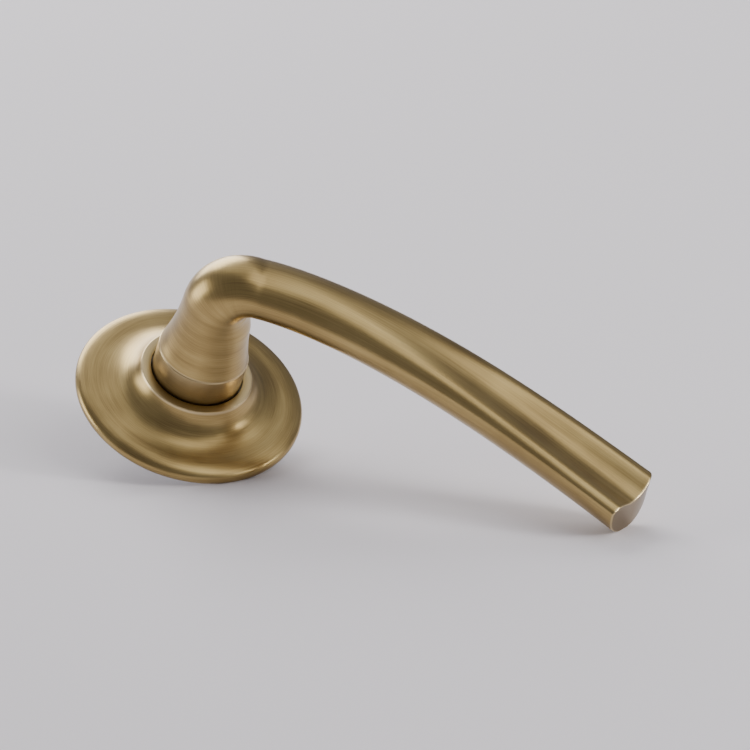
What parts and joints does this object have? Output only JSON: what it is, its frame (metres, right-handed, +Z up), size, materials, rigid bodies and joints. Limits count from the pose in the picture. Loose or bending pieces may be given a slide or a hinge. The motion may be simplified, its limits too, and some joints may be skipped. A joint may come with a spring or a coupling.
{
  "type": "door lever handle on a round rose",
  "caption": "Curved bar lever on a waisted neck, turning in a round sprung rose with a push-on cover; square socket for the spindle and threaded posts for through bolts.",
  "frame": {"origin": "centre of the rose's back face, on the spindle axis", "axes": "+Z up on the door; +Y into the door, so the handle stands out along -Y; +X along the lever"},
  "size_m": [0.149, 0.0566, 0.06],
  "materials": {
    "brass_lever": "satin, brushed along the arm, aged brown",
    "brass_cover": "satin, brushed round the rose, aged brown",
    "steel": "zinc plated",
    "spring_steel": "dark oiled",
    "zinc": "die cast, matt",
    "nylon": "natural"
  },
  "bodies": {
    "rose_base": {"base_plate": "zinc", "chamber_lid": "steel", "lower_bush": "nylon", "upper_bush": "nylon", "return_spring": "spring_steel", "bolt_post_left": "steel", "bolt_post_right": "steel", "cover_snap_ring": "spring_steel"},
    "lever_arm": {"lever": "brass_lever", "spring_driver": "steel", "retaining_circlip": "spring_steel", "wave_washer": "spring_steel"},
    "cover": {"rose_cover": "brass_cover"}
  },
  "joints": [
    {"name": "lever_turn", "type": "hinge", "parent": "rose_base", "child": "lever_arm", "pos_m": [0, 0, 0], "axis": [0, 1, 0], "range_deg": [0, 45], "stiffness_Nm_per_rad": 1.2, "springref_deg": -17.19, "deforming": ["return_spring"]},
    {"name": "cover_slide", "type": "slide", "parent": "rose_base", "child": "cover", "axis": [0, -1, 0], "range_m": [0, 0.015]}
  ]
}
